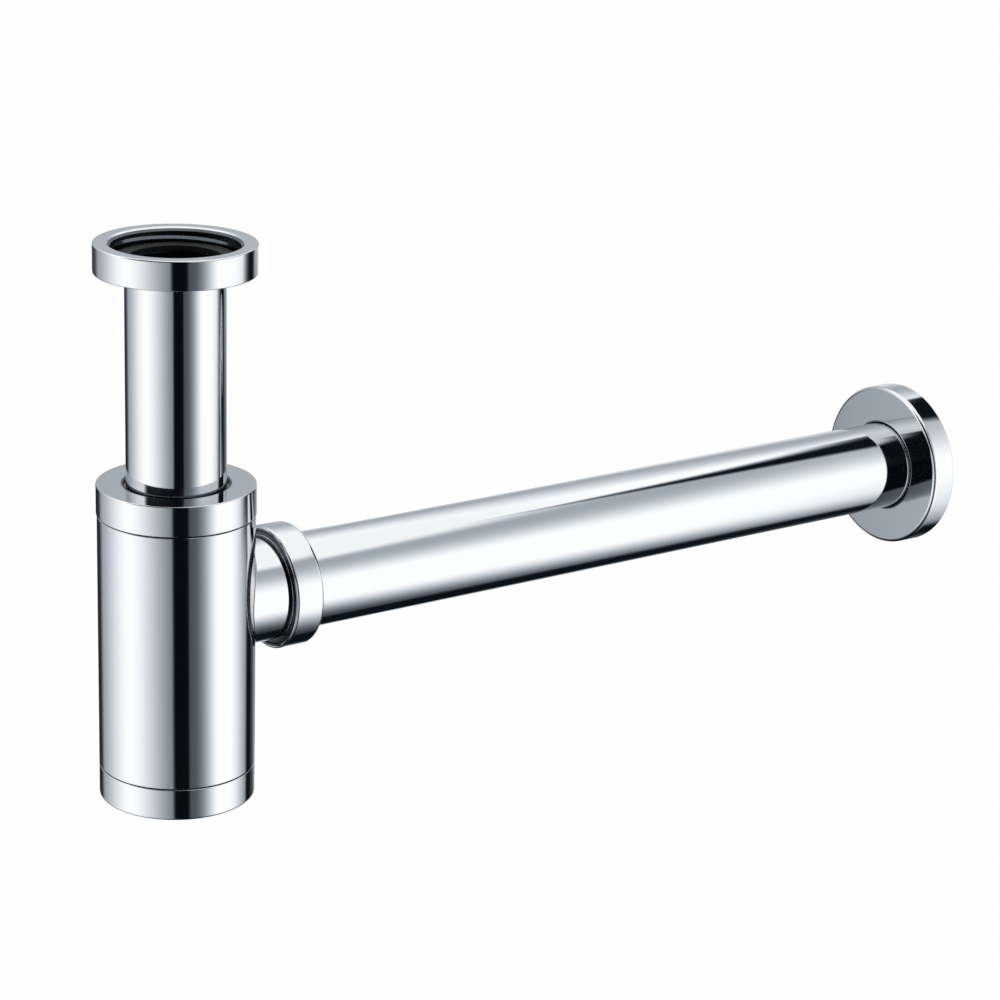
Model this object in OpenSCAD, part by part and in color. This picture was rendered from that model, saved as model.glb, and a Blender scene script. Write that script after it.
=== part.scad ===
// Basin bottle trap with a telescopic inlet, a clean-out cap and a straight outlet pipe to the wall.
// The origin is the centre of the inlet washer's top face, where the tail of the basin waste seats.
// +Z points up the inlet, and +X points along the outlet pipe to the wall.

/* [Tubes] */
// Outside diameter of the inlet tube and of the outlet pipe
tube_d = 32; // [30:0.5:33]
// Wall of the inlet tube and of the outlet pipe
tube_wall = 1; // [0.7:0.1:1.4]

/* [Inlet nut] */
// Outside diameter of the inlet nut
inlet_nut_d = 51.5; // [48:0.5:56]
// Height of the inlet nut
inlet_nut_h = 9.5; // [8.5:0.5:14]
// Depth of the undercut below the thread, on the radius
inlet_relief = 0.5; // [0.3:0.1:1]
// Thickness of the nut's lip under the tube flange
inlet_lip = 1.5; // [1:0.1:2.5]
// Chamfer at the nut's mouth, which opens to just over the thread's full width
mouth_chamfer = 2; // [0.3:0.1:2.2]
// Rounding of the nut's outer edges
inlet_nut_edge = 0.5; // [0.2:0.1:1]
// Thickness of the sealing washer in the nut
washer_h = 2; // [1.5:0.1:2.8]
// Width of the sealing washer, on the radius
washer_w = 4.7; // [4:0.1:6]
// Thickness of the slip ring between the lip and the tube flange
slip_ring_h = 0.6; // [0.4:0.1:1]

/* [Inlet tube] */
// Length of tube that shows between the inlet nut and the cap nut
inlet_show = 68.5; // [45:0.5:120]
// Length of tube below the cap nut's top face
inlet_insert = 50; // [35:1:65]
// Thickness of the flange turned out at the tube's top
tube_flange_h = 1; // [0.7:0.1:1.5]
// Width of that flange, which sets the nut's thread: 3.175 gives 38.95 mm, for a 1 1/4 inch pipe thread
tube_flange_w = 3.175; // [2.5:0.025:6]

/* [Cap nut] */
// Wall of the cap nut round its thread
cap_wall = 2.7; // [1.5:0.1:5]
// Height of the cap nut
cap_nut_h = 10; // [9:0.5:14]
// Thickness of the cap nut's top plate
cap_plate = 2; // [1.5:0.1:3]
// Gap round the tube where it enters the cap nut
cap_hole_gap = 0.8; // [0.4:0.1:1.2]
// Rounding of the cap nut's outer edges
cap_edge = 0.4; // [0.2:0.1:0.9]
// Thickness of the slip washer under the plate
cap_washer_h = 1; // [0.6:0.1:1.4]

/* [Body] */
// How far the shell stands back from the cap nut's side
body_inset = 0.25; // [0:0.05:1]
// Wall of the body shell
body_wall = 1.5; // [1:0.1:1.8]
// Height of the body shell between its two seams
body_h = 84.7; // [75:0.5:120]
// Rounding of the shell's two end edges
body_edge = 0.3; // [0.1:0.1:0.6]
// Wall of the threaded collar round the tube seal
collar_wall = 1.9; // [1.2:0.1:4]
// How far the threaded collar stands above the shell
collar_up = 7; // [5:0.5:7.3]
// Depth of the brazed part of the top collar inside the shell
collar_in = 6; // [4:0.5:8]
// Depth of the seal's seat below the top of the shell
seat_depth = 1.5; // [1.5:0.1:3]

/* [Dip tube and seal] */
// Wall of the dip tube
dip_wall = 1.4; // [1:0.1:1.6]
// Thickness of the flange that hangs the dip tube on its seat
dip_flange_h = 1.5; // [1:0.1:2]
// Width of the tube seal on the radius, from which the collar, cap nut and body follow
seal_w = 4.3; // [3:0.1:8]
// Height of the taper round the seal's top edge
seal_taper = 2; // [0.5:0.1:3]
// Gap between the dip tube's lower mouth and the rim of the bottom cap's spigot
dip_clear = 4; // [2:0.5:15]

/* [Bottom cap] */
// Height of the bottom cap that shows
bottom_cap_h = 10.5; // [8:0.5:16]
// Thickness of the bottom cap's floor
bottom_floor = 2.5; // [2:0.1:4]
// Rounding of the bottom cap's lower edge
bottom_edge = 0.8; // [0.3:0.1:2]
// Thickness of the sealing ring round the spigot
bottom_ring_d = 2; // [1.5:0.1:3]
// Height of the spigot above the bottom cap's shoulder
spigot_h = 7; // [6:0.5:9]
// Wall of the spigot
spigot_wall = 1.6; // [1.2:0.1:2]
// Height of the threaded ring inside the shell's lower end, with the sealing ring's pocket
bottom_collar_h = 9; // [7:0.5:14]

/* [Outlet] */
// Depth of the outlet's axis below the top of the shell
outlet_drop = 31.1; // [28:0.1:45]
// Length of the outlet's neck between the body and the outlet nut, along the axis
neck_show = 7.75; // [6.5:0.25:25]
// Wall of the outlet's neck outside the pipe
neck_wall = 0.95; // [0.8:0.05:1.2]
// Bore of the outlet where it opens into the body
outlet_bore_d = 28; // [24:0.5:28.5]
// Wall of the outlet's spigot where it passes through the shell
outlet_spigot_wall = 1.3; // [0.8:0.1:1.5]
// Thickness of the stop for the pipe, outside the shell
stop_wall = 1.75; // [1:0.25:3]

/* [Outlet nut] */
// Wall of the outlet nut round its thread
outlet_nut_wall = 1.6; // [1.5:0.1:5]
// Length of the outlet nut
outlet_nut_l = 10.5; // [10:0.5:16]
// Thickness of the nut's lip round the pipe
outlet_lip = 1.8; // [1.2:0.1:2.2]
// Rounding of the nut's edge on the pipe's side
outlet_nut_edge = 1.5; // [0.5:0.1:1.6]
// Rounding of the nut's edge on the body's side
outlet_nut_back_edge = 0.9; // [0.2:0.1:1.2]
// Depth of the outlet's shoulder inside the nut
shoulder_in = 0.2; // [0.1:0.1:1.2]
// Thickness of the slip washer behind the lip
outlet_washer_h = 0.8; // [0.5:0.1:1.1]
// Width of the slip washer on the radius, from which the outlet's thread and nut follow
outlet_washer_w = 2; // [1.3:0.1:2.5]
// Thickness of the seal's rim outside the socket
outlet_seal_rim = 1; // [0.8:0.1:1.4]

/* [Outlet pipe] */
// Length of the outlet pipe
pipe_l = 290; // [150:5:500]
// Gap left behind the pipe's inner end, before the stop
pipe_back = 2.5; // [2.5:0.1:4]
// Length of the reduced end that goes into the wall connector
pipe_end_l = 6; // [4:0.5:6.5]
// How much the radius of that end is reduced
pipe_end_step = 0.25; // [0.2:0.05:0.4]
// Chamfer round that end
pipe_end_chamfer = 0.4; // [0.2:0.1:0.5]

/* [Wall flange] */
// Outside diameter of the wall flange
flange_d = 59.5; // [50:0.5:80]
// Depth of the wall flange
flange_h = 9.4; // [8:0.2:16]
// Thickness of the flange's sheet
flange_wall = 1; // [1:0.1:1.5]
// Rounding of the flange's front edge
flange_edge = 1.4; // [1:0.1:2.5]
// Rounding of the edge of the flange's hole
flange_hole_edge = 0.9; // [0.3:0.1:0.9]
// How far the pipe comes out behind the flange
pipe_out = 6.6; // [6.6:0.1:40]
// Width of the grip ring, on the radius
grip_w = 1.85; // [1.5:0.05:3]
// Length of the grip ring
grip_l = 3.5; // [2:0.1:5]

/* [Clearances] */
// Gap between round faces that slide or turn on each other, on the radius
slip_gap = 0.3; // [0.2:0.05:0.4]
// Running gap between a tube and the rubber that grips it, on the radius
grip_gap = 0.05; // [0.02:0.01:0.1]
// Gap between the shell and each end nut, which shows as a fine seam
seam_gap = 0.3; // [0.2:0.05:0.5]
// Gap round the sealing ring of the bottom cap
ring_gap = 0.15; // [0.1:0.05:0.25]
// Gap that the braze fills between the shell and what is joined to it
braze_gap = 0.05; // [0.02:0.01:0.1]

/* [Hidden] */
$fn = 96;
// Straight steps in each rounded edge
round_steps = 6;

chrome = "#c9cdd2";
brass = "#c8a24c";
rubber = "#1d1d1f";
white_plastic = "#e9e7e0";

// Radii shared by the pieces that meet a tube
tube_r = tube_d / 2;
tube_in_r = tube_r - tube_wall;
slide_r = tube_r + slip_gap;
grip_r = tube_r + grip_gap;

// Inlet, from the washer's top face down
inlet_nut_r = inlet_nut_d / 2;
in_nut_r = tube_r + tube_flange_w;
inlet_thread_r = in_nut_r + slip_gap;
inlet_relief_r = inlet_thread_r + inlet_relief;
flange_top_z = -washer_h;
flange_low_z = flange_top_z - tube_flange_h;
inlet_lip_z = flange_low_z - slip_ring_h;
inlet_nut_low_z = inlet_lip_z - inlet_lip;
mouth_z = inlet_nut_low_z + inlet_nut_h;

// Cap nut and what it presses on, from the tube outwards
cap_top_z = inlet_nut_low_z - inlet_show;
cap_plate_z = cap_top_z - cap_plate;
cap_low_z = cap_top_z - cap_nut_h;
seal_top_z = cap_plate_z - cap_washer_h;
tube_end_z = cap_top_z - inlet_insert;
seal_r = tube_r + seal_w;
pocket_r = seal_r + slip_gap;
collar_thread_r = pocket_r + collar_wall;
cap_thread_r = collar_thread_r + slip_gap;
cap_r = cap_thread_r + cap_wall;

// Body shell and its collars
body_r = cap_r - body_inset;
body_in_r = body_r - body_wall;
brazed_r = body_in_r - braze_gap;
shell_top_z = cap_low_z - seam_gap;
shell_low_z = shell_top_z - body_h;
collar_top_z = shell_top_z + collar_up;
seat_z = shell_top_z - seat_depth;
dip_flange_z = seat_z + dip_flange_h;
dip_r = slide_r + dip_wall;

// Bottom cap
spigot_r = body_in_r - bottom_ring_d - 2 * ring_gap;
cap_shoulder_z = shell_low_z - seam_gap;
cap_floor_z = cap_shoulder_z - bottom_cap_h;
spigot_top_z = cap_shoulder_z + spigot_h;
spigot_in_r = spigot_r - spigot_wall;
ring_r = bottom_ring_d / 2;
ring_mid_r = (body_in_r + spigot_r) / 2;
ring_z = cap_shoulder_z + ring_gap + ring_r;
pocket_top_z = ring_z + ring_r + ring_gap;
dip_low_z = spigot_top_z + dip_clear;

// Outlet, along +X from the body's axis
outlet_z = shell_top_z - outlet_drop;
neck_r = slide_r + neck_wall;
outlet_bore_r = outlet_bore_d / 2;
outlet_spigot_r = outlet_bore_r + outlet_spigot_wall;
in_outlet_nut_r = slide_r + outlet_washer_w;
outlet_thread_r = in_outlet_nut_r + slip_gap;
nut_thread_r = outlet_thread_r + slip_gap;
outlet_nut_r = nut_thread_r + outlet_nut_wall;
nut_near_x = body_r + neck_show;
nut_far_x = nut_near_x + outlet_nut_l;
nut_lip_x = nut_far_x - outlet_lip;
seal_far_x = nut_lip_x - outlet_washer_h;
seal_rim_x = seal_far_x - outlet_seal_rim;
// The seal's cone lies parallel to the socket's 45 degree mouth, a slip gap away
head_end_x = seal_rim_x - slip_gap;
mouth_depth = in_outlet_nut_r - slide_r;
cone_shift = slip_gap * (sqrt(2) - 1);
shoulder_x = nut_near_x + shoulder_in;
stop_x = body_r + stop_wall;

// Outlet pipe and wall flange
pipe_x = stop_x + pipe_back;
pipe_end_x = pipe_x + pipe_l;
pipe_step_x = pipe_end_x - pipe_end_l;
flange_r = flange_d / 2;
flange_back_x = pipe_end_x - pipe_out;
flange_face_x = flange_back_x - flange_h;
flange_in_x = flange_face_x + flange_wall;
grip_out_r = tube_r + grip_w;
hub_in_r = grip_out_r + grip_gap;
hub_r = hub_in_r + flange_wall;
grip_x = flange_in_x + grip_gap;

// Points of a rounded corner about a centre, from one angle to another
function corner(centre, r, from, to) = [
    for (i = [0:round_steps])
        let (a = from + (to - from) * i / round_steps)
            centre + r * [cos(a), sin(a)]
];

// A piece turned about the Z axis from its half section, whose points are [radius, height]
module turned(section) {
    rotate_extrude() polygon(section);
}

// Lays what is turned about Z along the outlet's axis, so that heights become distances along +X
module along_outlet() {
    translate([0, 0, outlet_z]) rotate([0, 90, 0]) children();
}

// A plain ring between two heights
module ring(out_r, in_r, low, high) {
    turned([[in_r, low], [out_r, low], [out_r, high], [in_r, high]]);
}

// Union nut that draws the tube's flange up to the basin waste
module inlet_nut() {
    e = inlet_nut_edge;
    color(chrome) turned(concat(
        [[slide_r, inlet_nut_low_z]],
        corner([inlet_nut_r - e, inlet_nut_low_z + e], e, -90, 0),
        corner([inlet_nut_r - e, mouth_z - e], e, 0, 90),
        [
            [inlet_thread_r + mouth_chamfer, mouth_z],
            [inlet_thread_r, mouth_z - mouth_chamfer],
            [inlet_thread_r, 0],
            [inlet_relief_r, 0],
            [inlet_relief_r, inlet_lip_z],
            [slide_r, inlet_lip_z],
        ]
    ));
}

// Thin ring that lets the nut turn under the tube's flange
module inlet_slip_ring() {
    color(white_plastic) ring(in_nut_r, slide_r, inlet_lip_z, flange_low_z);
}

// Flat washer that seals the tube's flange to the basin waste
module inlet_washer() {
    color(rubber) ring(in_nut_r, in_nut_r - washer_w, flange_top_z, 0);
}

// Tube with its top end turned out, which slides in the trap to set the height
module inlet_tube() {
    color(chrome) turned([
        [tube_in_r, tube_end_z],
        [tube_r, tube_end_z],
        [tube_r, flange_low_z],
        [in_nut_r, flange_low_z],
        [in_nut_r, flange_top_z],
        [tube_in_r, flange_top_z],
    ]);
}

// Nut that closes the top of the body and squeezes the tube seal
module cap_nut() {
    e = cap_edge;
    color(chrome) turned(concat(
        [[cap_thread_r, cap_low_z]],
        corner([cap_r - e, cap_low_z + e], e, -90, 0),
        corner([cap_r - e, cap_top_z - e], e, 0, 90),
        [
            [tube_r + cap_hole_gap, cap_top_z],
            [tube_r + cap_hole_gap, cap_plate_z],
            [cap_thread_r, cap_plate_z],
        ]
    ));
}

// Washer that keeps the turning cap nut from twisting the seal
module cap_slip_washer() {
    color(white_plastic) ring(collar_thread_r, slide_r, seal_top_z, cap_plate_z);
}

// Rubber seal round the inlet tube
module tube_seal() {
    color(rubber) turned([
        [grip_r, dip_flange_z],
        [seal_r, dip_flange_z],
        [seal_r, seal_top_z - seal_taper],
        [seal_r - seal_taper / 2, seal_top_z],
        [grip_r, seal_top_z],
    ]);
}

// Inner tube that takes the water below the level of the outlet
module dip_tube() {
    color(white_plastic) turned([
        [slide_r, dip_low_z],
        [dip_r, dip_low_z],
        [dip_r, seat_z],
        [seal_r, seat_z],
        [seal_r, dip_flange_z],
        [slide_r, dip_flange_z],
    ]);
}

// Drawn shell of the body, with the hole for the outlet
module body_shell() {
    e = body_edge;
    color(chrome) difference() {
        turned(concat(
            [[body_in_r, shell_low_z]],
            corner([body_r - e, shell_low_z + e], e, -90, 0),
            corner([body_r - e, shell_top_z - e], e, 0, 90),
            [[body_in_r, shell_top_z]]
        ));
        along_outlet() cylinder(r = outlet_spigot_r + braze_gap, h = 2 * body_r);
    }
}

// Threaded collar brazed into the top of the shell, with the seat of the seal
module top_collar() {
    color(brass) turned([
        [dip_r + slip_gap, shell_top_z - collar_in],
        [brazed_r, shell_top_z - collar_in],
        [brazed_r, shell_top_z],
        [collar_thread_r, shell_top_z],
        [collar_thread_r, collar_top_z],
        [pocket_r, collar_top_z],
        [pocket_r, seat_z],
        [dip_r + slip_gap, seat_z],
    ]);
}

// Threaded ring brazed into the lower end of the shell
module bottom_collar() {
    color(brass) ring(brazed_r, spigot_r + slip_gap, pocket_top_z, shell_low_z + bottom_collar_h);
}

// Clean-out cup that screws into the lower end of the body
module bottom_cap() {
    e = bottom_edge;
    b = body_edge;
    color(chrome) turned(concat(
        [[0, cap_floor_z]],
        corner([body_r - e, cap_floor_z + e], e, -90, 0),
        corner([body_r - b, cap_shoulder_z - b], b, 0, 90),
        [
            [spigot_r, cap_shoulder_z],
            [spigot_r, spigot_top_z],
            [spigot_in_r, spigot_top_z],
            [spigot_in_r, cap_floor_z + bottom_floor],
            [0, cap_floor_z + bottom_floor],
        ]
    ));
}

// Round sealing ring on the bottom cap's shoulder
module bottom_sealing_ring() {
    color(rubber) translate([0, 0, ring_z]) rotate_extrude() translate([ring_mid_r, 0]) circle(r = ring_r);
}

// Outlet brazed to the shell: neck, threaded head and the socket for the pipe
module outlet_stub() {
    color(chrome) difference() {
        union() {
            difference() {
                along_outlet() union() {
                    cylinder(r = neck_r, h = shoulder_x + slip_gap);
                    translate([0, 0, shoulder_x]) cylinder(r = outlet_thread_r, h = head_end_x - shoulder_x);
                }
                translate([0, 0, outlet_z]) cylinder(r = body_r + braze_gap, h = 2 * body_r, center = true);
            }
            difference() {
                along_outlet() cylinder(r = outlet_spigot_r, h = stop_x);
                translate([0, 0, outlet_z]) cylinder(r = body_in_r, h = 2 * body_r, center = true);
            }
        }
        along_outlet() {
            cylinder(r = outlet_bore_r, h = head_end_x);
            translate([0, 0, stop_x]) cylinder(r = slide_r, h = head_end_x);
            translate([0, 0, head_end_x - mouth_depth])
                cylinder(r1 = slide_r, r2 = in_outlet_nut_r + mouth_depth, h = 2 * mouth_depth);
        }
    }
}

// Compression nut on the outlet
module outlet_nut() {
    e = outlet_nut_edge;
    b = outlet_nut_back_edge;
    color(chrome) along_outlet() turned(concat(
        [[nut_thread_r, nut_near_x]],
        corner([outlet_nut_r - b, nut_near_x + b], b, -90, 0),
        corner([outlet_nut_r - e, nut_far_x - e], e, 0, 90),
        [
            [slide_r, nut_far_x],
            [slide_r, nut_lip_x],
            [nut_thread_r, nut_lip_x],
        ]
    ));
}

// Washer that keeps the turning outlet nut from twisting the seal
module outlet_slip_washer() {
    color(white_plastic) along_outlet() ring(in_outlet_nut_r, slide_r, seal_far_x, nut_lip_x);
}

// Cone seal between the pipe and the socket's mouth
module outlet_seal() {
    cone_r = in_outlet_nut_r - cone_shift;
    color(rubber) along_outlet() turned([
        [grip_r, seal_rim_x - (cone_r - slide_r)],
        [slide_r, seal_rim_x - (cone_r - slide_r)],
        [cone_r, seal_rim_x],
        [in_outlet_nut_r, seal_rim_x],
        [in_outlet_nut_r, seal_far_x],
        [grip_r, seal_far_x],
    ]);
}

// Straight pipe to the wall, with a reduced end for the connector in the wall
module outlet_pipe() {
    end_r = tube_r - pipe_end_step;
    color(chrome) along_outlet() turned([
        [tube_in_r, pipe_x],
        [tube_r, pipe_x],
        [tube_r, pipe_step_x],
        [end_r, pipe_step_x],
        [end_r, pipe_end_x - pipe_end_chamfer],
        [end_r - pipe_end_chamfer, pipe_end_x],
        [tube_in_r, pipe_end_x],
    ]);
}

// Pressed cover that slides on the pipe and hides the hole in the wall
module wall_flange() {
    e = flange_edge;
    h = flange_hole_edge;
    inner_e = e - flange_wall;
    color(chrome) along_outlet() turned(concat(
        [[flange_r - flange_wall, flange_back_x], [flange_r, flange_back_x]],
        corner([flange_r - e, flange_face_x + e], e, 0, -90),
        corner([slide_r + h, flange_face_x + h], h, -90, -180),
        [
            [slide_r, flange_in_x],
            [hub_in_r, flange_in_x],
            [hub_in_r, grip_x + grip_l],
            [hub_r, grip_x + grip_l],
            [hub_r, flange_in_x],
        ],
        corner([flange_r - e, flange_face_x + e], max(inner_e, 0), -90, 0)
    ));
}

// Rubber ring in the flange's hub, which holds the flange where it is pushed
module flange_grip_ring() {
    color(rubber) along_outlet() ring(grip_out_r, grip_r, grip_x, grip_x + grip_l);
}

inlet_nut();
inlet_slip_ring();
inlet_washer();
inlet_tube();
cap_nut();
cap_slip_washer();
tube_seal();
dip_tube();
body_shell();
top_collar();
bottom_collar();
bottom_cap();
bottom_sealing_ring();
outlet_stub();
outlet_nut();
outlet_slip_washer();
outlet_seal();
outlet_pipe();
wall_flange();
flange_grip_ring();
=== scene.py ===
from math import pi, radians, sqrt

import bpy
from mathutils import Matrix, Vector


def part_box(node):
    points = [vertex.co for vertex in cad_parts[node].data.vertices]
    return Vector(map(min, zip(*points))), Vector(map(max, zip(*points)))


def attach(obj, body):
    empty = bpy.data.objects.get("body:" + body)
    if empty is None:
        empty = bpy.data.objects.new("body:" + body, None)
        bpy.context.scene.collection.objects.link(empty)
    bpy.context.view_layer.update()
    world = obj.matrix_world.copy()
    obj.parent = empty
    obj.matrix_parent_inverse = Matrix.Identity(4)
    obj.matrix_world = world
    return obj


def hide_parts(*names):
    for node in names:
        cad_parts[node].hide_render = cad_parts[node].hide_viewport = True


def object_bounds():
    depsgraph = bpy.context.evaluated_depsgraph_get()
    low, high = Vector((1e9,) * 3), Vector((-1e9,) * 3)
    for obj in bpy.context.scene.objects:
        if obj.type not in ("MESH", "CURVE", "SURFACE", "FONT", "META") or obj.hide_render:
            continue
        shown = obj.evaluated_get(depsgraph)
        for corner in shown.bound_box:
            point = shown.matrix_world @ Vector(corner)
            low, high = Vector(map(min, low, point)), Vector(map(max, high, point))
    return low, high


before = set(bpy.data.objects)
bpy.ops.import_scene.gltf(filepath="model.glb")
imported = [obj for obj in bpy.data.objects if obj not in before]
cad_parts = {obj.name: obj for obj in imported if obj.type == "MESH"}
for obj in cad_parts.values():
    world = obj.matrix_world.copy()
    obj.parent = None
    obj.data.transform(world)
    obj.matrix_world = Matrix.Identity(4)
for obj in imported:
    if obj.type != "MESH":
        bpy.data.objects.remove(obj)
cad_low, cad_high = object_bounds()
bpy.ops.object.select_all(action="DESELECT")

# Sizes in metres. The outer ones are read from the frame's boxes, and these are the trap's inner ones.
TUBE_R = 0.016
TUBE_WALL = 0.001
SLIP_R = 0.0163        # Bores that slide on a tube
SHELL_BORE_R = 0.02375
OUTLET_Z = -0.115      # Height of the outlet's axis
PITCH = 0.0015         # Of the trap's own threads
THREAD_DEPTH = 0.00045
BROKEN = 0.0003        # Rounding of an edge that is only broken
FINE = 0.0002          # Rounding of a finer one

SIDES = 192            # Points round a turned piece
ROUND_STEPS = 4        # Faces across a rounded edge
TOUCH = 1e-6           # Places nearer than this are one place


def width_of(name):
    """Outer radius, lowest point and highest point of an upright node."""
    low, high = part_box(name)
    return (high.y - low.y) / 2, low.z, high.z


def width_along(name):
    """Outer radius, near end and far end of a node that lies along the outlet."""
    low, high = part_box(name)
    return (high.y - low.y) / 2, low.x, high.x


def place_key(radius, height):
    """A ring's place in whole microns, so that two places can be compared."""
    return round(radius / TOUCH), round(height / TOUCH)


def apply_modifiers(piece):
    bpy.context.view_layer.objects.active = piece
    for modifier in list(piece.modifiers):
        bpy.ops.object.modifier_apply(modifier=modifier.name)


def turned(name, section, open_centre=True):
    """A turned piece. The section's corners are (radius, height, rounding), and each is run out as a ring
    from the one before. A ring shape closes on its first corner, and a cup on its axis."""
    radius, height, _ = section[0]
    fill = "NOTHING" if open_centre else "NGON"
    bpy.ops.mesh.primitive_circle_add(
        vertices=SIDES, radius=radius, location=(0, 0, height), fill_type=fill
    )
    piece = bpy.context.object
    piece.name = name
    bpy.ops.object.transform_apply(location=True)
    bpy.ops.object.mode_set(mode="EDIT")
    bpy.ops.mesh.select_all(action="SELECT")
    if not open_centre:
        bpy.ops.mesh.select_all(action="DESELECT")
        bpy.ops.mesh.select_non_manifold()
    for next_radius, next_height, _ in section[1:] + section[:open_centre]:
        bpy.ops.mesh.extrude_edges_move(TRANSFORM_OT_translate={"value": (0, 0, next_height - height)})
        scale = next_radius / radius
        bpy.ops.transform.resize(value=(scale, scale, 1), center_override=(0, 0, next_height))
        radius, height = next_radius, next_height
    if not open_centre:
        bpy.ops.mesh.edge_face_add()
    bpy.ops.mesh.select_all(action="SELECT")
    bpy.ops.mesh.remove_doubles(threshold=TOUCH / 10)
    bpy.ops.mesh.normals_make_consistent(inside=False)
    bpy.ops.object.mode_set(mode="OBJECT")
    round_corners(piece, section)
    return piece


def round_corners(piece, section):
    """Rounds the rings of edges at those corners of the section that have a rounding."""
    rounding_at = {place_key(radius, height): size for radius, height, size in section if size}
    if not rounding_at:
        return
    widest = max(rounding_at.values())
    points = [place_key(Vector(v.co.xy).length, v.co.z) for v in piece.data.vertices]
    weights = piece.data.attributes.new("bevel_weight_edge", "FLOAT", "EDGE")
    for edge in piece.data.edges:
        start, end = (points[i] for i in edge.vertices)
        if start == end and start in rounding_at:
            weights.data[edge.index].value = rounding_at[start] / widest
    bevel = piece.modifiers.new("Rounded edges", "BEVEL")
    bevel.limit_method = "WEIGHT"
    bevel.width = widest
    bevel.segments = ROUND_STEPS
    apply_modifiers(piece)


def add_thread(piece, root_r, crest_r, low, high, pitch):
    """Joins a thread's ridge to an upright piece, with its foot sunk a little into the root. An inner
    thread has its crest inside its root."""
    turns = (high - low) / pitch - 1
    foot = pitch * 0.44    # Half the ridge's width at its foot
    tip = pitch * 0.08     # and at its crest
    sink = 0.00005
    sunk = root_r + (sink if root_r > crest_r else -sink)
    middle = low + pitch / 2
    bpy.ops.mesh.primitive_plane_add()
    ridge = bpy.context.object
    corners = [
        (sunk, 0, middle - foot),
        (crest_r, 0, middle - tip),
        (sunk, 0, middle + foot),
        (crest_r, 0, middle + tip),
    ]
    for vertex, corner in zip(ridge.data.vertices, corners):
        vertex.co = corner
    bpy.ops.object.mode_set(mode="EDIT")
    bpy.ops.mesh.select_all(action="SELECT")
    bpy.ops.mesh.delete(type="ONLY_FACE")
    bpy.ops.object.mode_set(mode="OBJECT")
    screw = ridge.modifiers.new("Helix", "SCREW")
    screw.angle = 2 * pi * turns
    screw.screw_offset = pitch * turns
    screw.steps = screw.render_steps = round(SIDES * turns)
    apply_modifiers(ridge)
    run_out(ridge, sunk, crest_r)
    bpy.ops.object.mode_set(mode="EDIT")
    bpy.ops.mesh.select_all(action="SELECT")
    bpy.ops.mesh.fill_holes(sides=4)
    bpy.ops.mesh.normals_make_consistent(inside=False)
    bpy.ops.object.mode_set(mode="OBJECT")
    piece.select_set(True)
    bpy.context.view_layer.objects.active = piece
    bpy.ops.object.join()
    bpy.ops.object.select_all(action="DESELECT")


def run_out(ridge, sunk, crest_r):
    """Lets a thread's ridge sink into its wall over a twelfth of a turn at both ends."""
    points = ridge.data.vertices
    corners = 4
    last = len(points) // corners - 1
    for v in points:
        step = v.index // corners
        share = min(1, min(step, last - step) / (SIDES / 12))
        radius = Vector(v.co.xy).length
        wanted = sunk + (radius - sunk) * share
        v.co.x *= wanted / radius
        v.co.y *= wanted / radius


def smooth(piece):
    """Smooth faces whose flats stay flat up to their rounded edges."""
    bpy.ops.object.select_all(action="DESELECT")
    piece.select_set(True)
    bpy.context.view_layer.objects.active = piece
    bpy.ops.object.shade_smooth_by_angle(angle=radians(35))
    normals = piece.modifiers.new("Flat faces stay flat", "WEIGHTED_NORMAL")
    normals.keep_sharp = True
    apply_modifiers(piece)
    piece.select_set(False)


def lay_along_outlet(piece):
    """Turns a piece made upright on the origin onto the outlet's axis."""
    bpy.ops.object.select_all(action="DESELECT")
    piece.select_set(True)
    bpy.context.view_layer.objects.active = piece
    piece.rotation_euler = (0, pi / 2, 0)
    piece.location = (0, 0, OUTLET_Z)
    bpy.ops.object.transform_apply(location=True, rotation=True)


def dull_plate_and_shade(piece, radius, low=-1.0, high=1.0):
    """Gives an upright piece the dark plate of a bore, partly thin plate and partly painted shade, inside
    a radius and between two heights.
    """
    if not piece.data.materials:
        piece.data.materials.append(CHROME)
        piece.data.materials.append(BORE_PLATE_AND_SHADE)
    for face in piece.data.polygons:
        if face.center.xy.length < radius and low < face.center.z < high:
            face.material_index = 1


def stand_for(piece, node_name, body, material):
    """The piece takes the place of that node, on its body and in its slot's finish."""
    smooth(piece)
    if not piece.data.materials:
        piece.data.materials.append(material)
    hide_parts(node_name)
    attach(piece, body)


# Materials

def linear(hex_colour):
    """An sRGB colour written as RRGGBB, as linear RGBA."""
    parts = [int(hex_colour[i:i + 2], 16) / 255 for i in (0, 2, 4)]
    return [p / 12.92 if p <= 0.04045 else ((p + 0.055) / 1.055) ** 2.4 for p in parts] + [1.0]


def node(tree, kind, inputs=None, **settings):
    """Adds one node, and gives each input a value or another node's output."""
    made = tree.nodes.new(kind)
    for key, value in settings.items():
        setattr(made, key, value)
    for key, value in (inputs or {}).items():
        if isinstance(value, bpy.types.NodeSocket):
            tree.links.new(value, made.inputs[key])
        else:
            made.inputs[key].default_value = value
    return made


def new_material(name):
    material = bpy.data.materials.new(name)
    material.use_nodes = True
    material.node_tree.nodes.clear()
    return material, material.node_tree


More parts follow.
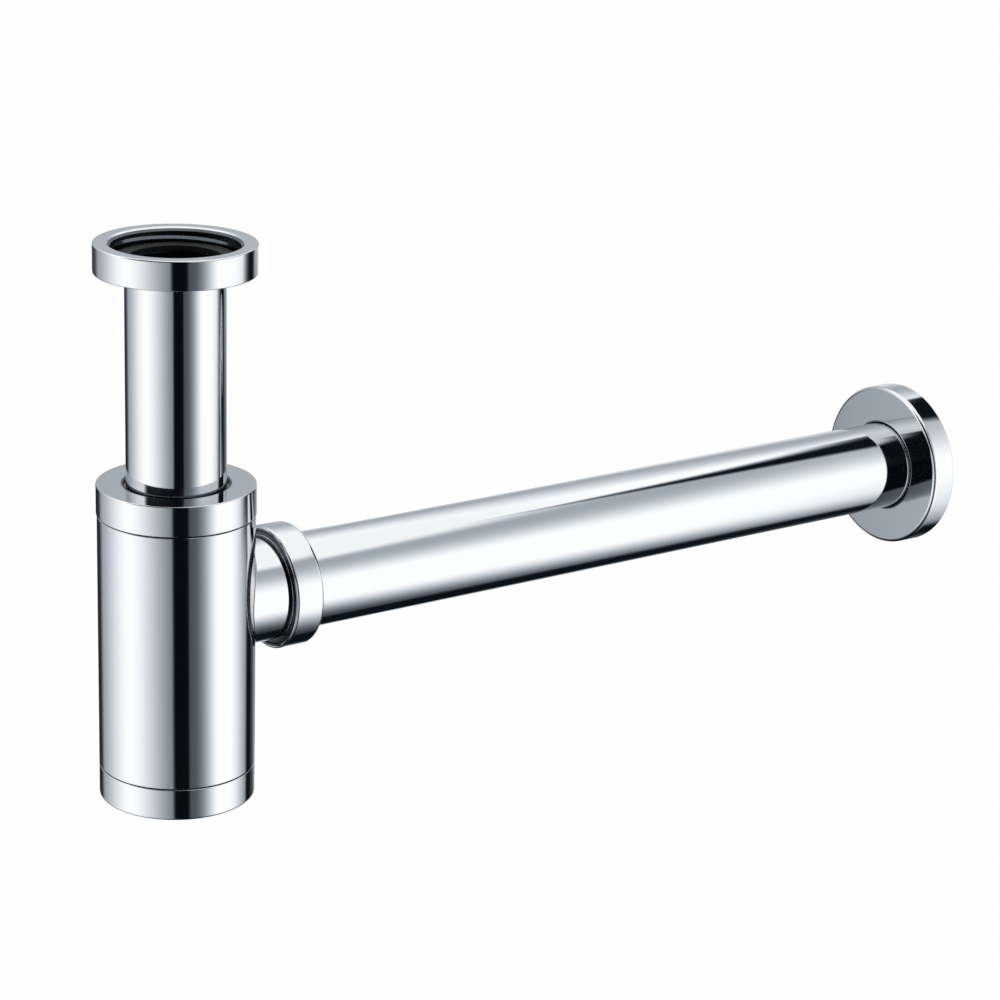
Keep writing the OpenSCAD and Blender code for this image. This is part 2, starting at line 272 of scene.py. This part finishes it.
def chrome_plate():
    """Bright chrome plate on buffed brass. The buffing leaves a mirror with a very slight waviness, a few
    millimetres from crest to crest, and fine haze that comes and goes."""
    material, tree = new_material("chrome_plate")
    place = node(tree, "ShaderNodeTexCoord").outputs["Object"]
    waves = node(tree, "ShaderNodeTexNoise", {"Vector": place, "Scale": 1 / 0.009, "Detail": 1.0})
    bump = node(tree, "ShaderNodeBump", {
        "Height": waves.outputs["Fac"],
        "Strength": 0.2,
        "Distance": 0.00002,
    })
    haze = node(tree, "ShaderNodeTexNoise", {"Vector": place, "Scale": 1 / 0.015, "Detail": 5.0})
    roughness = node(
        tree, "ShaderNodeMapRange", {"Value": haze.outputs["Fac"], "To Min": 0.02, "To Max": 0.06}
    )
    shader = node(tree, "ShaderNodeBsdfPrincipled", {
        "Base Color": linear("CACDD1"),
        "Metallic": 1.0,
        "Roughness": roughness.outputs["Result"],
        "Normal": bump.outputs["Normal"],
    })
    node(tree, "ShaderNodeOutputMaterial", {"Surface": shader.outputs["BSDF"]})
    return material


def bore_plate_and_painted_shade():
    """Chrome plate as it is inside bores and threads, where the current hardly reaches: thin, grey and
    never buffed. It looks satin, and its dark grey colour is also painted shade for the hollows that it
    lines."""
    material, tree = new_material("bore_plate_and_painted_shade")
    place = node(tree, "ShaderNodeTexCoord").outputs["Object"]
    patches = node(tree, "ShaderNodeTexNoise", {"Vector": place, "Scale": 1 / 0.004, "Detail": 4.0})
    roughness = node(
        tree, "ShaderNodeMapRange", {"Value": patches.outputs["Fac"], "To Min": 0.18, "To Max": 0.36}
    )
    shader = node(tree, "ShaderNodeBsdfPrincipled", {
        "Base Color": linear("535960"),
        "Metallic": 1.0,
        "Roughness": roughness.outputs["Result"],
    })
    node(tree, "ShaderNodeOutputMaterial", {"Surface": shader.outputs["BSDF"]})
    return material


def moulded_rubber():
    """Black EPDM rubber, moulded. It is soft to the eye, with a fine grain and a dull sheen."""
    material, tree = new_material("moulded_rubber")
    place = node(tree, "ShaderNodeTexCoord").outputs["Object"]
    grain = node(tree, "ShaderNodeTexNoise", {"Vector": place, "Scale": 1 / 0.0006, "Detail": 3.0})
    bump = node(tree, "ShaderNodeBump", {
        "Height": grain.outputs["Fac"],
        "Strength": 0.3,
        "Distance": 0.00005,
    })
    shader = node(tree, "ShaderNodeBsdfPrincipled", {
        "Base Color": linear("0E0F10"),
        "Roughness": 0.6,
        "Specular IOR Level": 0.3,
        "Normal": bump.outputs["Normal"],
    })
    node(tree, "ShaderNodeOutputMaterial", {"Surface": shader.outputs["BSDF"]})
    return material


def moulded_polypropylene():
    """White polypropylene, moulded. It is slightly waxy, and a little light passes into it."""
    material, tree = new_material("moulded_polypropylene")
    place = node(tree, "ShaderNodeTexCoord").outputs["Object"]
    flow = node(tree, "ShaderNodeTexNoise", {"Vector": place, "Scale": 1 / 0.004, "Detail": 2.0})
    bump = node(tree, "ShaderNodeBump", {
        "Height": flow.outputs["Fac"],
        "Strength": 0.2,
        "Distance": 0.0001,
    })
    shader = node(tree, "ShaderNodeBsdfPrincipled", {
        "Base Color": linear("E9E9E4"),
        "Roughness": 0.38,
        "Subsurface Weight": 0.15,
        "Subsurface Radius": (0.003, 0.003, 0.0025),
        "Subsurface Scale": 0.5,
        "Normal": bump.outputs["Normal"],
    })
    node(tree, "ShaderNodeOutputMaterial", {"Surface": shader.outputs["BSDF"]})
    return material


def turned_brass():
    """Machining brass, turned and left unplated. The tool leaves fine rings, and the metal stays
    yellow."""
    material, tree = new_material("turned_brass")
    place = node(tree, "ShaderNodeTexCoord").outputs["Object"]
    rings = node(
        tree, "ShaderNodeTexWave", {"Vector": place, "Scale": 1 / 0.0008, "Distortion": 0.4},
        bands_direction="Z",
    )
    bump = node(tree, "ShaderNodeBump", {
        "Height": rings.outputs["Fac"],
        "Strength": 0.3,
        "Distance": 0.00003,
    })
    shader = node(tree, "ShaderNodeBsdfPrincipled", {
        "Base Color": linear("D9B871"),
        "Metallic": 1.0,
        "Roughness": 0.28,
        "Normal": bump.outputs["Normal"],
    })
    node(tree, "ShaderNodeOutputMaterial", {"Surface": shader.outputs["BSDF"]})
    return material


CHROME = chrome_plate()
# Dark bore plate: thin plate, and painted shade for the hollows and faces where it is laid
BORE_PLATE_AND_SHADE = bore_plate_and_painted_shade()
RUBBER = moulded_rubber()
PLASTIC = moulded_polypropylene()
BRASS = turned_brass()


# Pieces of the inlet

def inlet_nut():
    """Union nut that hangs under the tube's flange. Its open mouth shows the thread."""
    radius, low, high = width_of("inlet_nut")
    crest_r = 0.019475
    root_r = 0.0203
    mouth_r = 0.021475
    shade_edge_r = 0.021       # The bright plate ends here, in the mouth's chamfer, and the painted shade of the bore begins
    pitch = 0.00231        # 11 turns to the inch
    thread_low = -0.0008
    thread_high = high - (mouth_r - crest_r)
    lip = 0.0015
    edge = 0.0005
    piece = turned("polished_inlet_nut", [
        (SLIP_R, low, BROKEN),
        (radius, low, edge),
        (radius, high, edge),
        (mouth_r, high, FINE),
        (shade_edge_r, high - (mouth_r - shade_edge_r), 0),
        (root_r, high - (mouth_r - root_r), 0),
        (root_r, low + lip, 0),
        (SLIP_R, low + lip, BROKEN),
    ])
    add_thread(piece, root_r, crest_r, thread_low, thread_high, pitch)
    # Painted shade: the mouth's lower chamfer, the thread and the bore get the dark bore plate
    dull_plate_and_shade(piece, shade_edge_r)
    stand_for(piece, "inlet_nut", "inlet_union", CHROME)


def inlet_washer():
    """Rubber washer that the basin waste lands on."""
    radius, low, high = width_of("inlet_washer")
    hole_r = 0.014475
    piece = turned("moulded_inlet_washer", [
        (hole_r, low, BROKEN),
        (radius, low, BROKEN),
        (radius, high, BROKEN),
        (hole_r, high, BROKEN),
    ])
    stand_for(piece, "inlet_washer", "riser", RUBBER)


def inlet_tube():
    """Sliding tube with its end turned out into a flange."""
    flange_r, low, high = width_of("inlet_tube")
    bore_r = TUBE_R - TUBE_WALL
    under_flange = 0.0006
    piece = turned("polished_inlet_tube", [
        (bore_r, low, FINE),
        (TUBE_R, low, FINE),
        (TUBE_R, high - TUBE_WALL, under_flange),
        (flange_r, high - TUBE_WALL, BROKEN),
        (flange_r, high, BROKEN),
        (bore_r, high, BROKEN),
    ])
    # Painted shade: the tube's bore gets the dark bore plate
    dull_plate_and_shade(piece, bore_r + BROKEN)
    stand_for(piece, "inlet_tube", "riser", CHROME)


# Pieces of the body

def cap_nut():
    """Round nut that closes the top of the body and presses the seal onto the tube."""
    radius, low, high = width_of("cap_nut")
    plate = 0.002
    hole_r = 0.0168
    crest_r = 0.0228
    root_r = crest_r + THREAD_DEPTH
    edge = 0.0004
    hole_edge = 0.0008
    piece = turned("polished_cap_nut", [
        (crest_r, low, 0),
        (radius, low, edge),
        (radius, high, edge),
        (hole_r, high, hole_edge),
        (hole_r, high - plate, edge),
        (root_r, high - plate, 0),
        (root_r, low + THREAD_DEPTH, 0),
    ])
    add_thread(piece, root_r, crest_r, low + THREAD_DEPTH, high - plate - PITCH, PITCH)
    # Painted shade: the thread, the inside and the hole's edge get the dark bore plate
    dull_plate_and_shade(piece, root_r + FINE, high=high - plate + TOUCH)
    dull_plate_and_shade(piece, hole_r + hole_edge)
    stand_for(piece, "cap_nut", "cap", CHROME)


def body_shell():
    """The trap's cylinder, with the hole for the outlet."""
    radius, low, high = width_of("body_shell")
    hole_r = 0.01535
    hole_band = 0.0165     # Rings above and below the hole keep its cut under the outlet's neck
    piece = turned("polished_body", [
        (SHELL_BORE_R, low, BROKEN),
        (radius, low, BROKEN),
        (radius, OUTLET_Z - hole_band, 0),
        (radius, OUTLET_Z + hole_band, 0),
        (radius, high, BROKEN),
        (SHELL_BORE_R, high, BROKEN),
        (SHELL_BORE_R, OUTLET_Z + hole_band, 0),
        (SHELL_BORE_R, OUTLET_Z - hole_band, 0),
    ])
    cutter = turned("hole_cutter", [(hole_r, 0, 0), (hole_r, 2 * radius, 0)], open_centre=False)
    lay_along_outlet(cutter)
    hole = piece.modifiers.new("Outlet hole", "BOOLEAN")
    hole.object = cutter
    hole.operation = "DIFFERENCE"
    hole.solver = "EXACT"
    apply_modifiers(piece)
    bpy.data.objects.remove(cutter)
    # Painted shade: the inside of the shell gets the dark bore plate
    dull_plate_and_shade(piece, SHELL_BORE_R + FINE)
    stand_for(piece, "body_shell", "bottle", CHROME)


def top_collar():
    """Brass collar brazed into the top of the shell, with the cap nut's thread and the seal's seat."""
    brazed_r, low, high = width_of("top_collar")
    shoulder_z = -0.0839
    seat_z = -0.0854
    mouth_r = 0.018
    pocket_r = 0.0206
    crest_r = 0.0225
    root_r = crest_r - THREAD_DEPTH
    piece = turned("threaded_top_collar", [
        (mouth_r, low, FINE),
        (brazed_r, low, FINE),
        (brazed_r, shoulder_z, 0),
        (root_r, shoulder_z, FINE),
        (root_r, high, FINE),
        (pocket_r, high, FINE),
        (pocket_r, seat_z, FINE),
        (mouth_r, seat_z, FINE),
    ])
    add_thread(piece, root_r, crest_r, shoulder_z + PITCH, high - THREAD_DEPTH, PITCH)
    stand_for(piece, "top_collar", "bottle", BRASS)


def bottom_collar():
    """Brass ring brazed into the lower end of the shell, with the clean-out cup's thread inside it."""
    brazed_r, low, high = width_of("bottom_collar")
    crest_r = 0.02175
    root_r = crest_r + THREAD_DEPTH
    piece = turned("threaded_bottom_collar", [
        (root_r, low, FINE),
        (brazed_r, low, FINE),
        (brazed_r, high, FINE),
        (root_r, high, FINE),
    ])
    add_thread(piece, root_r, crest_r, low + FINE, high - FINE, PITCH)
    stand_for(piece, "bottom_collar", "bottle", BRASS)


def bottom_cap():
    """Clean-out cup that screws into the body from below."""
    radius, low, high = width_of("bottom_cap")
    rim_z = -0.1689
    thread_z = -0.1664     # Below it is the groove of the sealing ring
    crest_r = 0.02145
    root_r = crest_r - THREAD_DEPTH
    hollow_r = 0.01985
    base = 0.0025
    inner_corner = 0.0015
    low_edge = 0.0008
    piece = turned("polished_bottom_cap", [
        (hollow_r, low + base, inner_corner),
        (hollow_r, high, BROKEN),
        (root_r, high, BROKEN),
        (root_r, thread_z, 0),
        (crest_r, thread_z - THREAD_DEPTH, 0),
        (crest_r, rim_z, 0),
        (radius, rim_z, BROKEN),
        (radius, low, low_edge),
    ], open_centre=False)
    add_thread(piece, root_r, crest_r, thread_z, high - BROKEN, PITCH)
    stand_for(piece, "bottom_cap", "cleanout", CHROME)


# Pieces of the outlet

def sit_on_drum(piece, mark, drum_r):
    """Moves the rings made on a marked height or just above it, so that they follow an upright drum
    instead."""
    reach = 0.001
    for vertex in piece.data.vertices:
        above = vertex.co.x - mark
        if -TOUCH < above < reach:
            vertex.co.x = sqrt(drum_r ** 2 - vertex.co.y ** 2) + above


def outlet_stub():
    """Outlet brazed to the shell, with a fine fillet of braze, and its head with the nut's thread."""
    neck_r = 0.01725
    bore_r = 0.014
    spigot_r = 0.0153
    crest_r = 0.0186
    root_r = crest_r - THREAD_DEPTH
    stop_x = 0.027
    shoulder_x = 0.0332
    shoulder_end_x = 0.034
    thread_x = 0.0344
    head_end_x = 0.03962
    seal_mouth_r = 0.0179
    seal_seat = 0.002      # Depth of the cone that the seal is pressed into
    outside = 0.016        # Marks for the rings on the shell's outer and inner face
    inside = 0.012
    fillet = 0.0003
    hollow = 0.3 * fillet
    proud = 0.00005        # How far the braze stands off the shell
    shoulder_edge = 0.00015
    piece = turned("brazed_outlet", [
        (spigot_r, outside, 0),
        (neck_r + fillet, outside, 0),
        (neck_r + hollow, outside + hollow, 0),
        (neck_r, outside + fillet, 0),
        (neck_r, shoulder_x, shoulder_edge),
        (crest_r, shoulder_x, shoulder_edge),
        (crest_r, shoulder_end_x, 0),
        (root_r, thread_x, 0),
        (root_r, head_end_x, FINE),
        (seal_mouth_r, head_end_x, 0),
        (SLIP_R, head_end_x - seal_seat, FINE),
        (SLIP_R, stop_x, 0),
        (bore_r, stop_x, BROKEN),
        (bore_r, inside, 0),
        (spigot_r, inside, 0),
    ])
    add_thread(piece, root_r, crest_r, thread_x, head_end_x, PITCH)
    # Painted shade: the bore and socket get the dark bore plate, and so do the shoulder and the head
    # inside the nut
    dull_plate_and_shade(piece, SLIP_R + FINE)
    dull_plate_and_shade(piece, crest_r, low=shoulder_x - TOUCH)
    lay_along_outlet(piece)
    shell_r, _, _ = width_of("body_shell")
    sit_on_drum(piece, outside, shell_r + proud)
    sit_on_drum(piece, inside, SHELL_BORE_R)
    stand_for(piece, "outlet_stub", "bottle", CHROME)


def outlet_nut():
    """Compression nut on the outlet."""
    radius, near, far = width_along("outlet_nut")
    crest_r = 0.0189
    root_r = crest_r + THREAD_DEPTH
    lip_x = 0.0417
    plain_end_x = near + 0.0006
    thread_x = plain_end_x + THREAD_DEPTH
    near_edge = 0.0009
    far_edge = 0.0015
    piece = turned("polished_outlet_nut", [
        (crest_r, near, 0),
        (crest_r, plain_end_x, 0),
        (root_r, thread_x, 0),
        (root_r, lip_x, 0),
        (SLIP_R, lip_x, BROKEN),
        (SLIP_R, far, BROKEN),
        (radius, far, far_edge),
        (radius, near, near_edge),
    ])
    add_thread(piece, root_r, crest_r, thread_x, lip_x - PITCH, PITCH)
    # Painted shade: the thread, the bore and the inner part of the near face, which faces the shell, get
    # the dark bore plate
    dull_plate_and_shade(piece, radius - near_edge, high=far - BROKEN)
    lay_along_outlet(piece)
    stand_for(piece, "outlet_nut", "outlet_union", CHROME)


def outlet_pipe():
    """Long pipe to the wall, with its end reduced for the wall's connector."""
    radius, near, far = width_along("outlet_pipe")
    bore_r = radius - TUBE_WALL
    end_r = 0.01575
    end_length = 0.006
    end_chamfer = 0.0004
    piece = turned("polished_outlet_pipe", [
        (bore_r, near, FINE),
        (bore_r, far, FINE),
        (end_r - end_chamfer, far, 0),
        (end_r, far - end_chamfer, 0),
        (end_r, far - end_length, 0),
        (radius, far - end_length - (radius - end_r), FINE),
        (radius, near, FINE),
    ])
    # Painted shade: the pipe's bore gets the dark bore plate
    dull_plate_and_shade(piece, bore_r + FINE)
    lay_along_outlet(piece)
    stand_for(piece, "outlet_pipe", "pipe", CHROME)


def wall_flange():
    """Cover of sheet metal that hides the hole in the wall, with a hub round the pipe."""
    radius, near, far = width_along("wall_flange")
    sheet = 0.001
    hub_r = 0.0179
    hub_far = 0.30805
    hole_edge = 0.0009
    front_edge = 0.0014
    inner_corner = 0.0006
    piece = turned("polished_wall_flange", [
        (SLIP_R, near, hole_edge),
        (SLIP_R, near + sheet, 0),
        (hub_r, near + sheet, 0),
        (hub_r, hub_far, BROKEN),
        (hub_r + sheet, hub_far, BROKEN),
        (hub_r + sheet, near + sheet, BROKEN),
        (radius - sheet, near + sheet, inner_corner),
        (radius - sheet, far, BROKEN),
        (radius, far, BROKEN),
        (radius, near, front_edge),
    ])
    lay_along_outlet(piece)
    stand_for(piece, "wall_flange", "flange", CHROME)


def paint_nodes():
    """The pieces that keep their shape from the frame get their finish."""
    finishes = {
        "inlet_slip_ring": PLASTIC,
        "cap_slip_washer": PLASTIC,
        "dip_tube": PLASTIC,
        "outlet_slip_washer": PLASTIC,
        "tube_seal": RUBBER,
        "bottom_sealing_ring": RUBBER,
        "outlet_seal": RUBBER,
        "flange_grip_ring": RUBBER,
    }
    for name, material in finishes.items():
        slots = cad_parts[name].data.materials
        slots.clear()
        slots.append(material)


# Studio

def soft_step(tree, value, edge, rising):
    """From 0 to 1 across an edge, or from 1 to 0. The edge is (place, softness), in degrees."""
    place, softness = edge
    return node(tree, "ShaderNodeMapRange", {
        "Value": value,
        "From Min": place - softness,
        "From Max": place + softness,
        "To Min": 0.0 if rising else 1.0,
        "To Max": 1.0 if rising else 0.0,
    }, interpolation_type="SMOOTHSTEP").outputs["Result"]


def card(tree, levels, azimuth, elevation, at, level, left=None, right=None, bottom=None, top=None,
         slope=0.0):
    """Hangs a card in the tent. It is centred on a compass direction, and its left and right edges are
    counted from there. Its bottom and top edges are heights, and slope tilts them. An edge left out is
    open."""
    aside = node(tree, "ShaderNodeMath", {0: azimuth, 1: float(at)}, operation="SUBTRACT").outputs[0]
    side = node(tree, "ShaderNodeMath", {0: aside, 1: 180.0, 2: -180.0}, operation="WRAP").outputs[0]
    tilted = node(tree, "ShaderNodeMath", {0: side, 1: slope, 2: elevation}, operation="MULTIPLY_ADD")
    rise = tilted.outputs[0]
    share = 1.0
    for value, edge, rising in (
        (side, left, True), (side, right, False), (rise, bottom, True), (rise, top, False),
    ):
        if edge:
            step = soft_step(tree, value, edge, rising)
            share = node(tree, "ShaderNodeMath", {0: step, 1: share}, operation="MULTIPLY").outputs[0]
    return node(tree, "ShaderNodeMix", {0: share, 2: levels, 3: level}, data_type="FLOAT").outputs[0]


def tent_levels(tree):
    """What hangs in the light tent, as the levels that the eye sees, from 0 for black to 1 for white."""
    at = node(tree, "ShaderNodeTexCoord").outputs["Object"]
    ray = node(tree, "ShaderNodeVectorMath", {0: at}, operation="NORMALIZE").outputs[0]
    parts = node(tree, "ShaderNodeSeparateXYZ", {0: ray}).outputs
    turn = node(tree, "ShaderNodeMath", {0: parts["Y"], 1: parts["X"]}, operation="ARCTAN2").outputs[0]
    azimuth = node(tree, "ShaderNodeMath", {0: turn}, operation="DEGREES").outputs[0]
    lift = node(tree, "ShaderNodeMath", {0: parts["Z"]}, operation="ARCSINE").outputs[0]
    elevation = node(tree, "ShaderNodeMath", {0: lift}, operation="DEGREES").outputs[0]
    cards = {
        "wide shade by the camera": dict(at=245, level=0.32, left=(-32, 42), right=(27, 22)),
        "slot for the camera": dict(at=236, level=0.05, left=(-9, 3), right=(11, 3)),
        "wide shade behind": dict(at=100, level=0.58, left=(-33, 5), right=(39, 34), top=(12, 9)),
        "dark card behind": dict(at=100, level=0.16, left=(-32, 6), right=(11, 9), top=(6, 10)),
        "floor shade": dict(at=0, level=0.08, top=(-58, 28)),
        "ceiling shade in front": dict(at=-60, level=0.66, left=(-100, 5), right=(47, 7),
                                       bottom=(26, 20)),
        "grey band behind": dict(at=60, level=0.64, left=(-38, 12), right=(70, 30),
                                 bottom=(2, 16), top=(38, 22)),
        "softbox overhead": dict(at=0, level=0.96, bottom=(53, 5)),
        "dark card high left": dict(at=215, level=0.08, left=(-45, 6), right=(28, 8),
                                    bottom=(12, 8), top=(60, 3)),
        "wide shade to the right": dict(at=15, level=0.14, left=(-16, 45), right=(30, 18), top=(-8, 16)),
        "grey board to the right": dict(at=35, level=0.50, left=(-2, 10), right=(28, 10),
                                        bottom=(-32, 4), top=(-17, 5)),
        "dark card low right": dict(at=12, level=0.07, left=(-9, 11), right=(48, 14), top=(-38, 7)),
        "dark card right": dict(at=12, level=0.08, left=(-9, 5), right=(9, 4),
                                bottom=(-46, 4), top=(-18, 8)),
        "dark card mid right": dict(at=8, level=0.08, left=(-16, 14), right=(11, 9),
                                    bottom=(-20, 2), top=(20, 5)),
        "dark card high right": dict(at=0, level=0.08, left=(-13, 5), right=(18, 2),
                                     bottom=(15, 8), top=(46, 4), slope=0.6),
    }
    levels = 1.0
    for sizes in cards.values():
        levels = card(tree, levels, azimuth, elevation, **sizes)
    return levels


def light_tent():
    """Light tent round the trap, which only its polished pieces see. It is plain white but for soft
    shades and dark cards, which give the chrome its stripes. A little daylight makes the darkest of
    them bluish."""
    middle = (0.12, 0, -0.105)
    bpy.ops.mesh.primitive_uv_sphere_add(segments=96, ring_count=48, radius=0.68, location=middle)
    tent = bpy.context.object
    tent.name = "light_tent"
    for kind in ("camera", "diffuse", "transmission", "shadow"):
        setattr(tent, "visible_" + kind, False)
    material, tree = new_material("tent_cloth")
    material.cycles.emission_sampling = "NONE"
    eye_to_light = 2.2
    full_light = 1.66
    levels = tent_levels(tree)
    light = node(tree, "ShaderNodeMath", {0: levels, 1: eye_to_light}, operation="POWER").outputs[0]
    cool, warm = linear("E4F2FF"), linear("FFFDFA")
    tint = node(tree, "ShaderNodeMix", {0: light, 6: cool, 7: warm}, data_type="RGBA").outputs[2]
    strength = node(tree, "ShaderNodeMath", {0: light, 1: full_light}, operation="MULTIPLY").outputs[0]
    cloth = node(tree, "ShaderNodeEmission", {"Color": tint, "Strength": strength})
    daylight = node(tree, "ShaderNodeEmission", {"Color": linear("8BC1FF"), "Strength": 0.008})
    seen = node(tree, "ShaderNodeAddShader", {0: cloth.outputs[0], 1: daylight.outputs[0]})
    node(tree, "ShaderNodeOutputMaterial", {"Surface": seen.outputs[0]})
    tent.data.materials.append(material)


def white_world():
    """White world, which the camera sees at full strength."""
    world = bpy.data.worlds.new("white_room")
    bpy.context.scene.world = world
    world.use_nodes = True
    tree = world.node_tree
    tree.nodes.clear()
    seen = node(tree, "ShaderNodeLightPath").outputs["Is Camera Ray"]
    strength = node(tree, "ShaderNodeMapRange", {"Value": seen, "To Min": 0.6, "To Max": 1.0})
    white = node(tree, "ShaderNodeBackground", {
        "Color": linear("FFFFFF"),
        "Strength": strength.outputs[0],
    })
    node(tree, "ShaderNodeOutputWorld", {"Surface": white.outputs[0]})


def floor():
    """Pale floor well below the trap, which hangs from its basin. It keeps a faint shadow, the chrome
    doesn't show it, and it is clear from below."""
    drop = 0.35
    width = 12
    bpy.ops.mesh.primitive_plane_add(size=width, location=(0, 0, cad_low.z - drop))
    plane = bpy.context.object
    plane.name = "studio_floor"
    material, tree = new_material("pale_floor")
    paint = node(tree, "ShaderNodeBsdfDiffuse", {"Color": linear("F2F2F0")})
    glow = node(tree, "ShaderNodeEmission", {"Color": linear("FFFFFF"), "Strength": 1.0})
    clear = node(tree, "ShaderNodeBsdfTransparent")
    path = node(tree, "ShaderNodeLightPath")
    side = node(tree, "ShaderNodeNewGeometry")
    glowing = 0.985        # Share of its own glow, and the rest shows the shadow
    pale = node(tree, "ShaderNodeMath", {
        0: path.outputs["Is Camera Ray"],
        1: glowing,
    }, operation="MULTIPLY")
    lit = node(tree, "ShaderNodeMixShader", {
        0: pale.outputs[0],
        1: paint.outputs[0],
        2: glow.outputs[0],
    })
    unseen = node(tree, "ShaderNodeMath", {
        0: path.outputs["Is Glossy Ray"],
        1: side.outputs["Backfacing"],
    }, operation="MAXIMUM")
    shown = node(tree, "ShaderNodeMixShader", {
        0: unseen.outputs[0],
        1: lit.outputs[0],
        2: clear.outputs[0],
    })
    node(tree, "ShaderNodeOutputMaterial", {"Surface": shown.outputs[0]})
    plane.data.materials.append(material)


def lamp(name, place, size, power):
    """Soft lamp aimed at the middle of the trap. Its own shape stays out of the chrome."""
    middle = (cad_low + cad_high) / 2
    bpy.ops.object.light_add(type="AREA", location=place)
    light = bpy.context.object
    light.name = name
    light.data.size = size
    light.data.energy = power
    light.rotation_euler = (middle - Vector(place)).to_track_quat("-Z", "Y").to_euler()
    light.visible_glossy = False


def camera():
    """Where the photograph was taken from, worked out from the trap's edges."""
    place = Vector((-0.4383, -0.7839, 0.2156))
    turn = radians(-35.78)
    dip = radians(18.10)
    roll = radians(1.87)
    bpy.ops.object.camera_add()
    made = bpy.context.object
    made.data.lens = 106.45
    made.data.sensor_width = 36
    level = Matrix.Rotation(turn, 4, "Z") @ Matrix.Rotation(pi / 2 - dip, 4, "X")
    made.matrix_world = Matrix.Translation(place) @ level @ Matrix.Rotation(roll, 4, "Z")
    bpy.context.scene.camera = made


inlet_nut()
inlet_washer()
inlet_tube()
cap_nut()
body_shell()
top_collar()
bottom_collar()
bottom_cap()
outlet_stub()
outlet_nut()
outlet_pipe()
wall_flange()
paint_nodes()

white_world()
light_tent()
floor()
lamp("key_lamp", place=(-1.2, -1.6, 1.4), size=1.2, power=12.0)
lamp("fill_lamp", place=(1.8, -1.2, 0.6), size=1.5, power=6.0)
camera()
bpy.context.scene.view_settings.view_transform = "Standard"
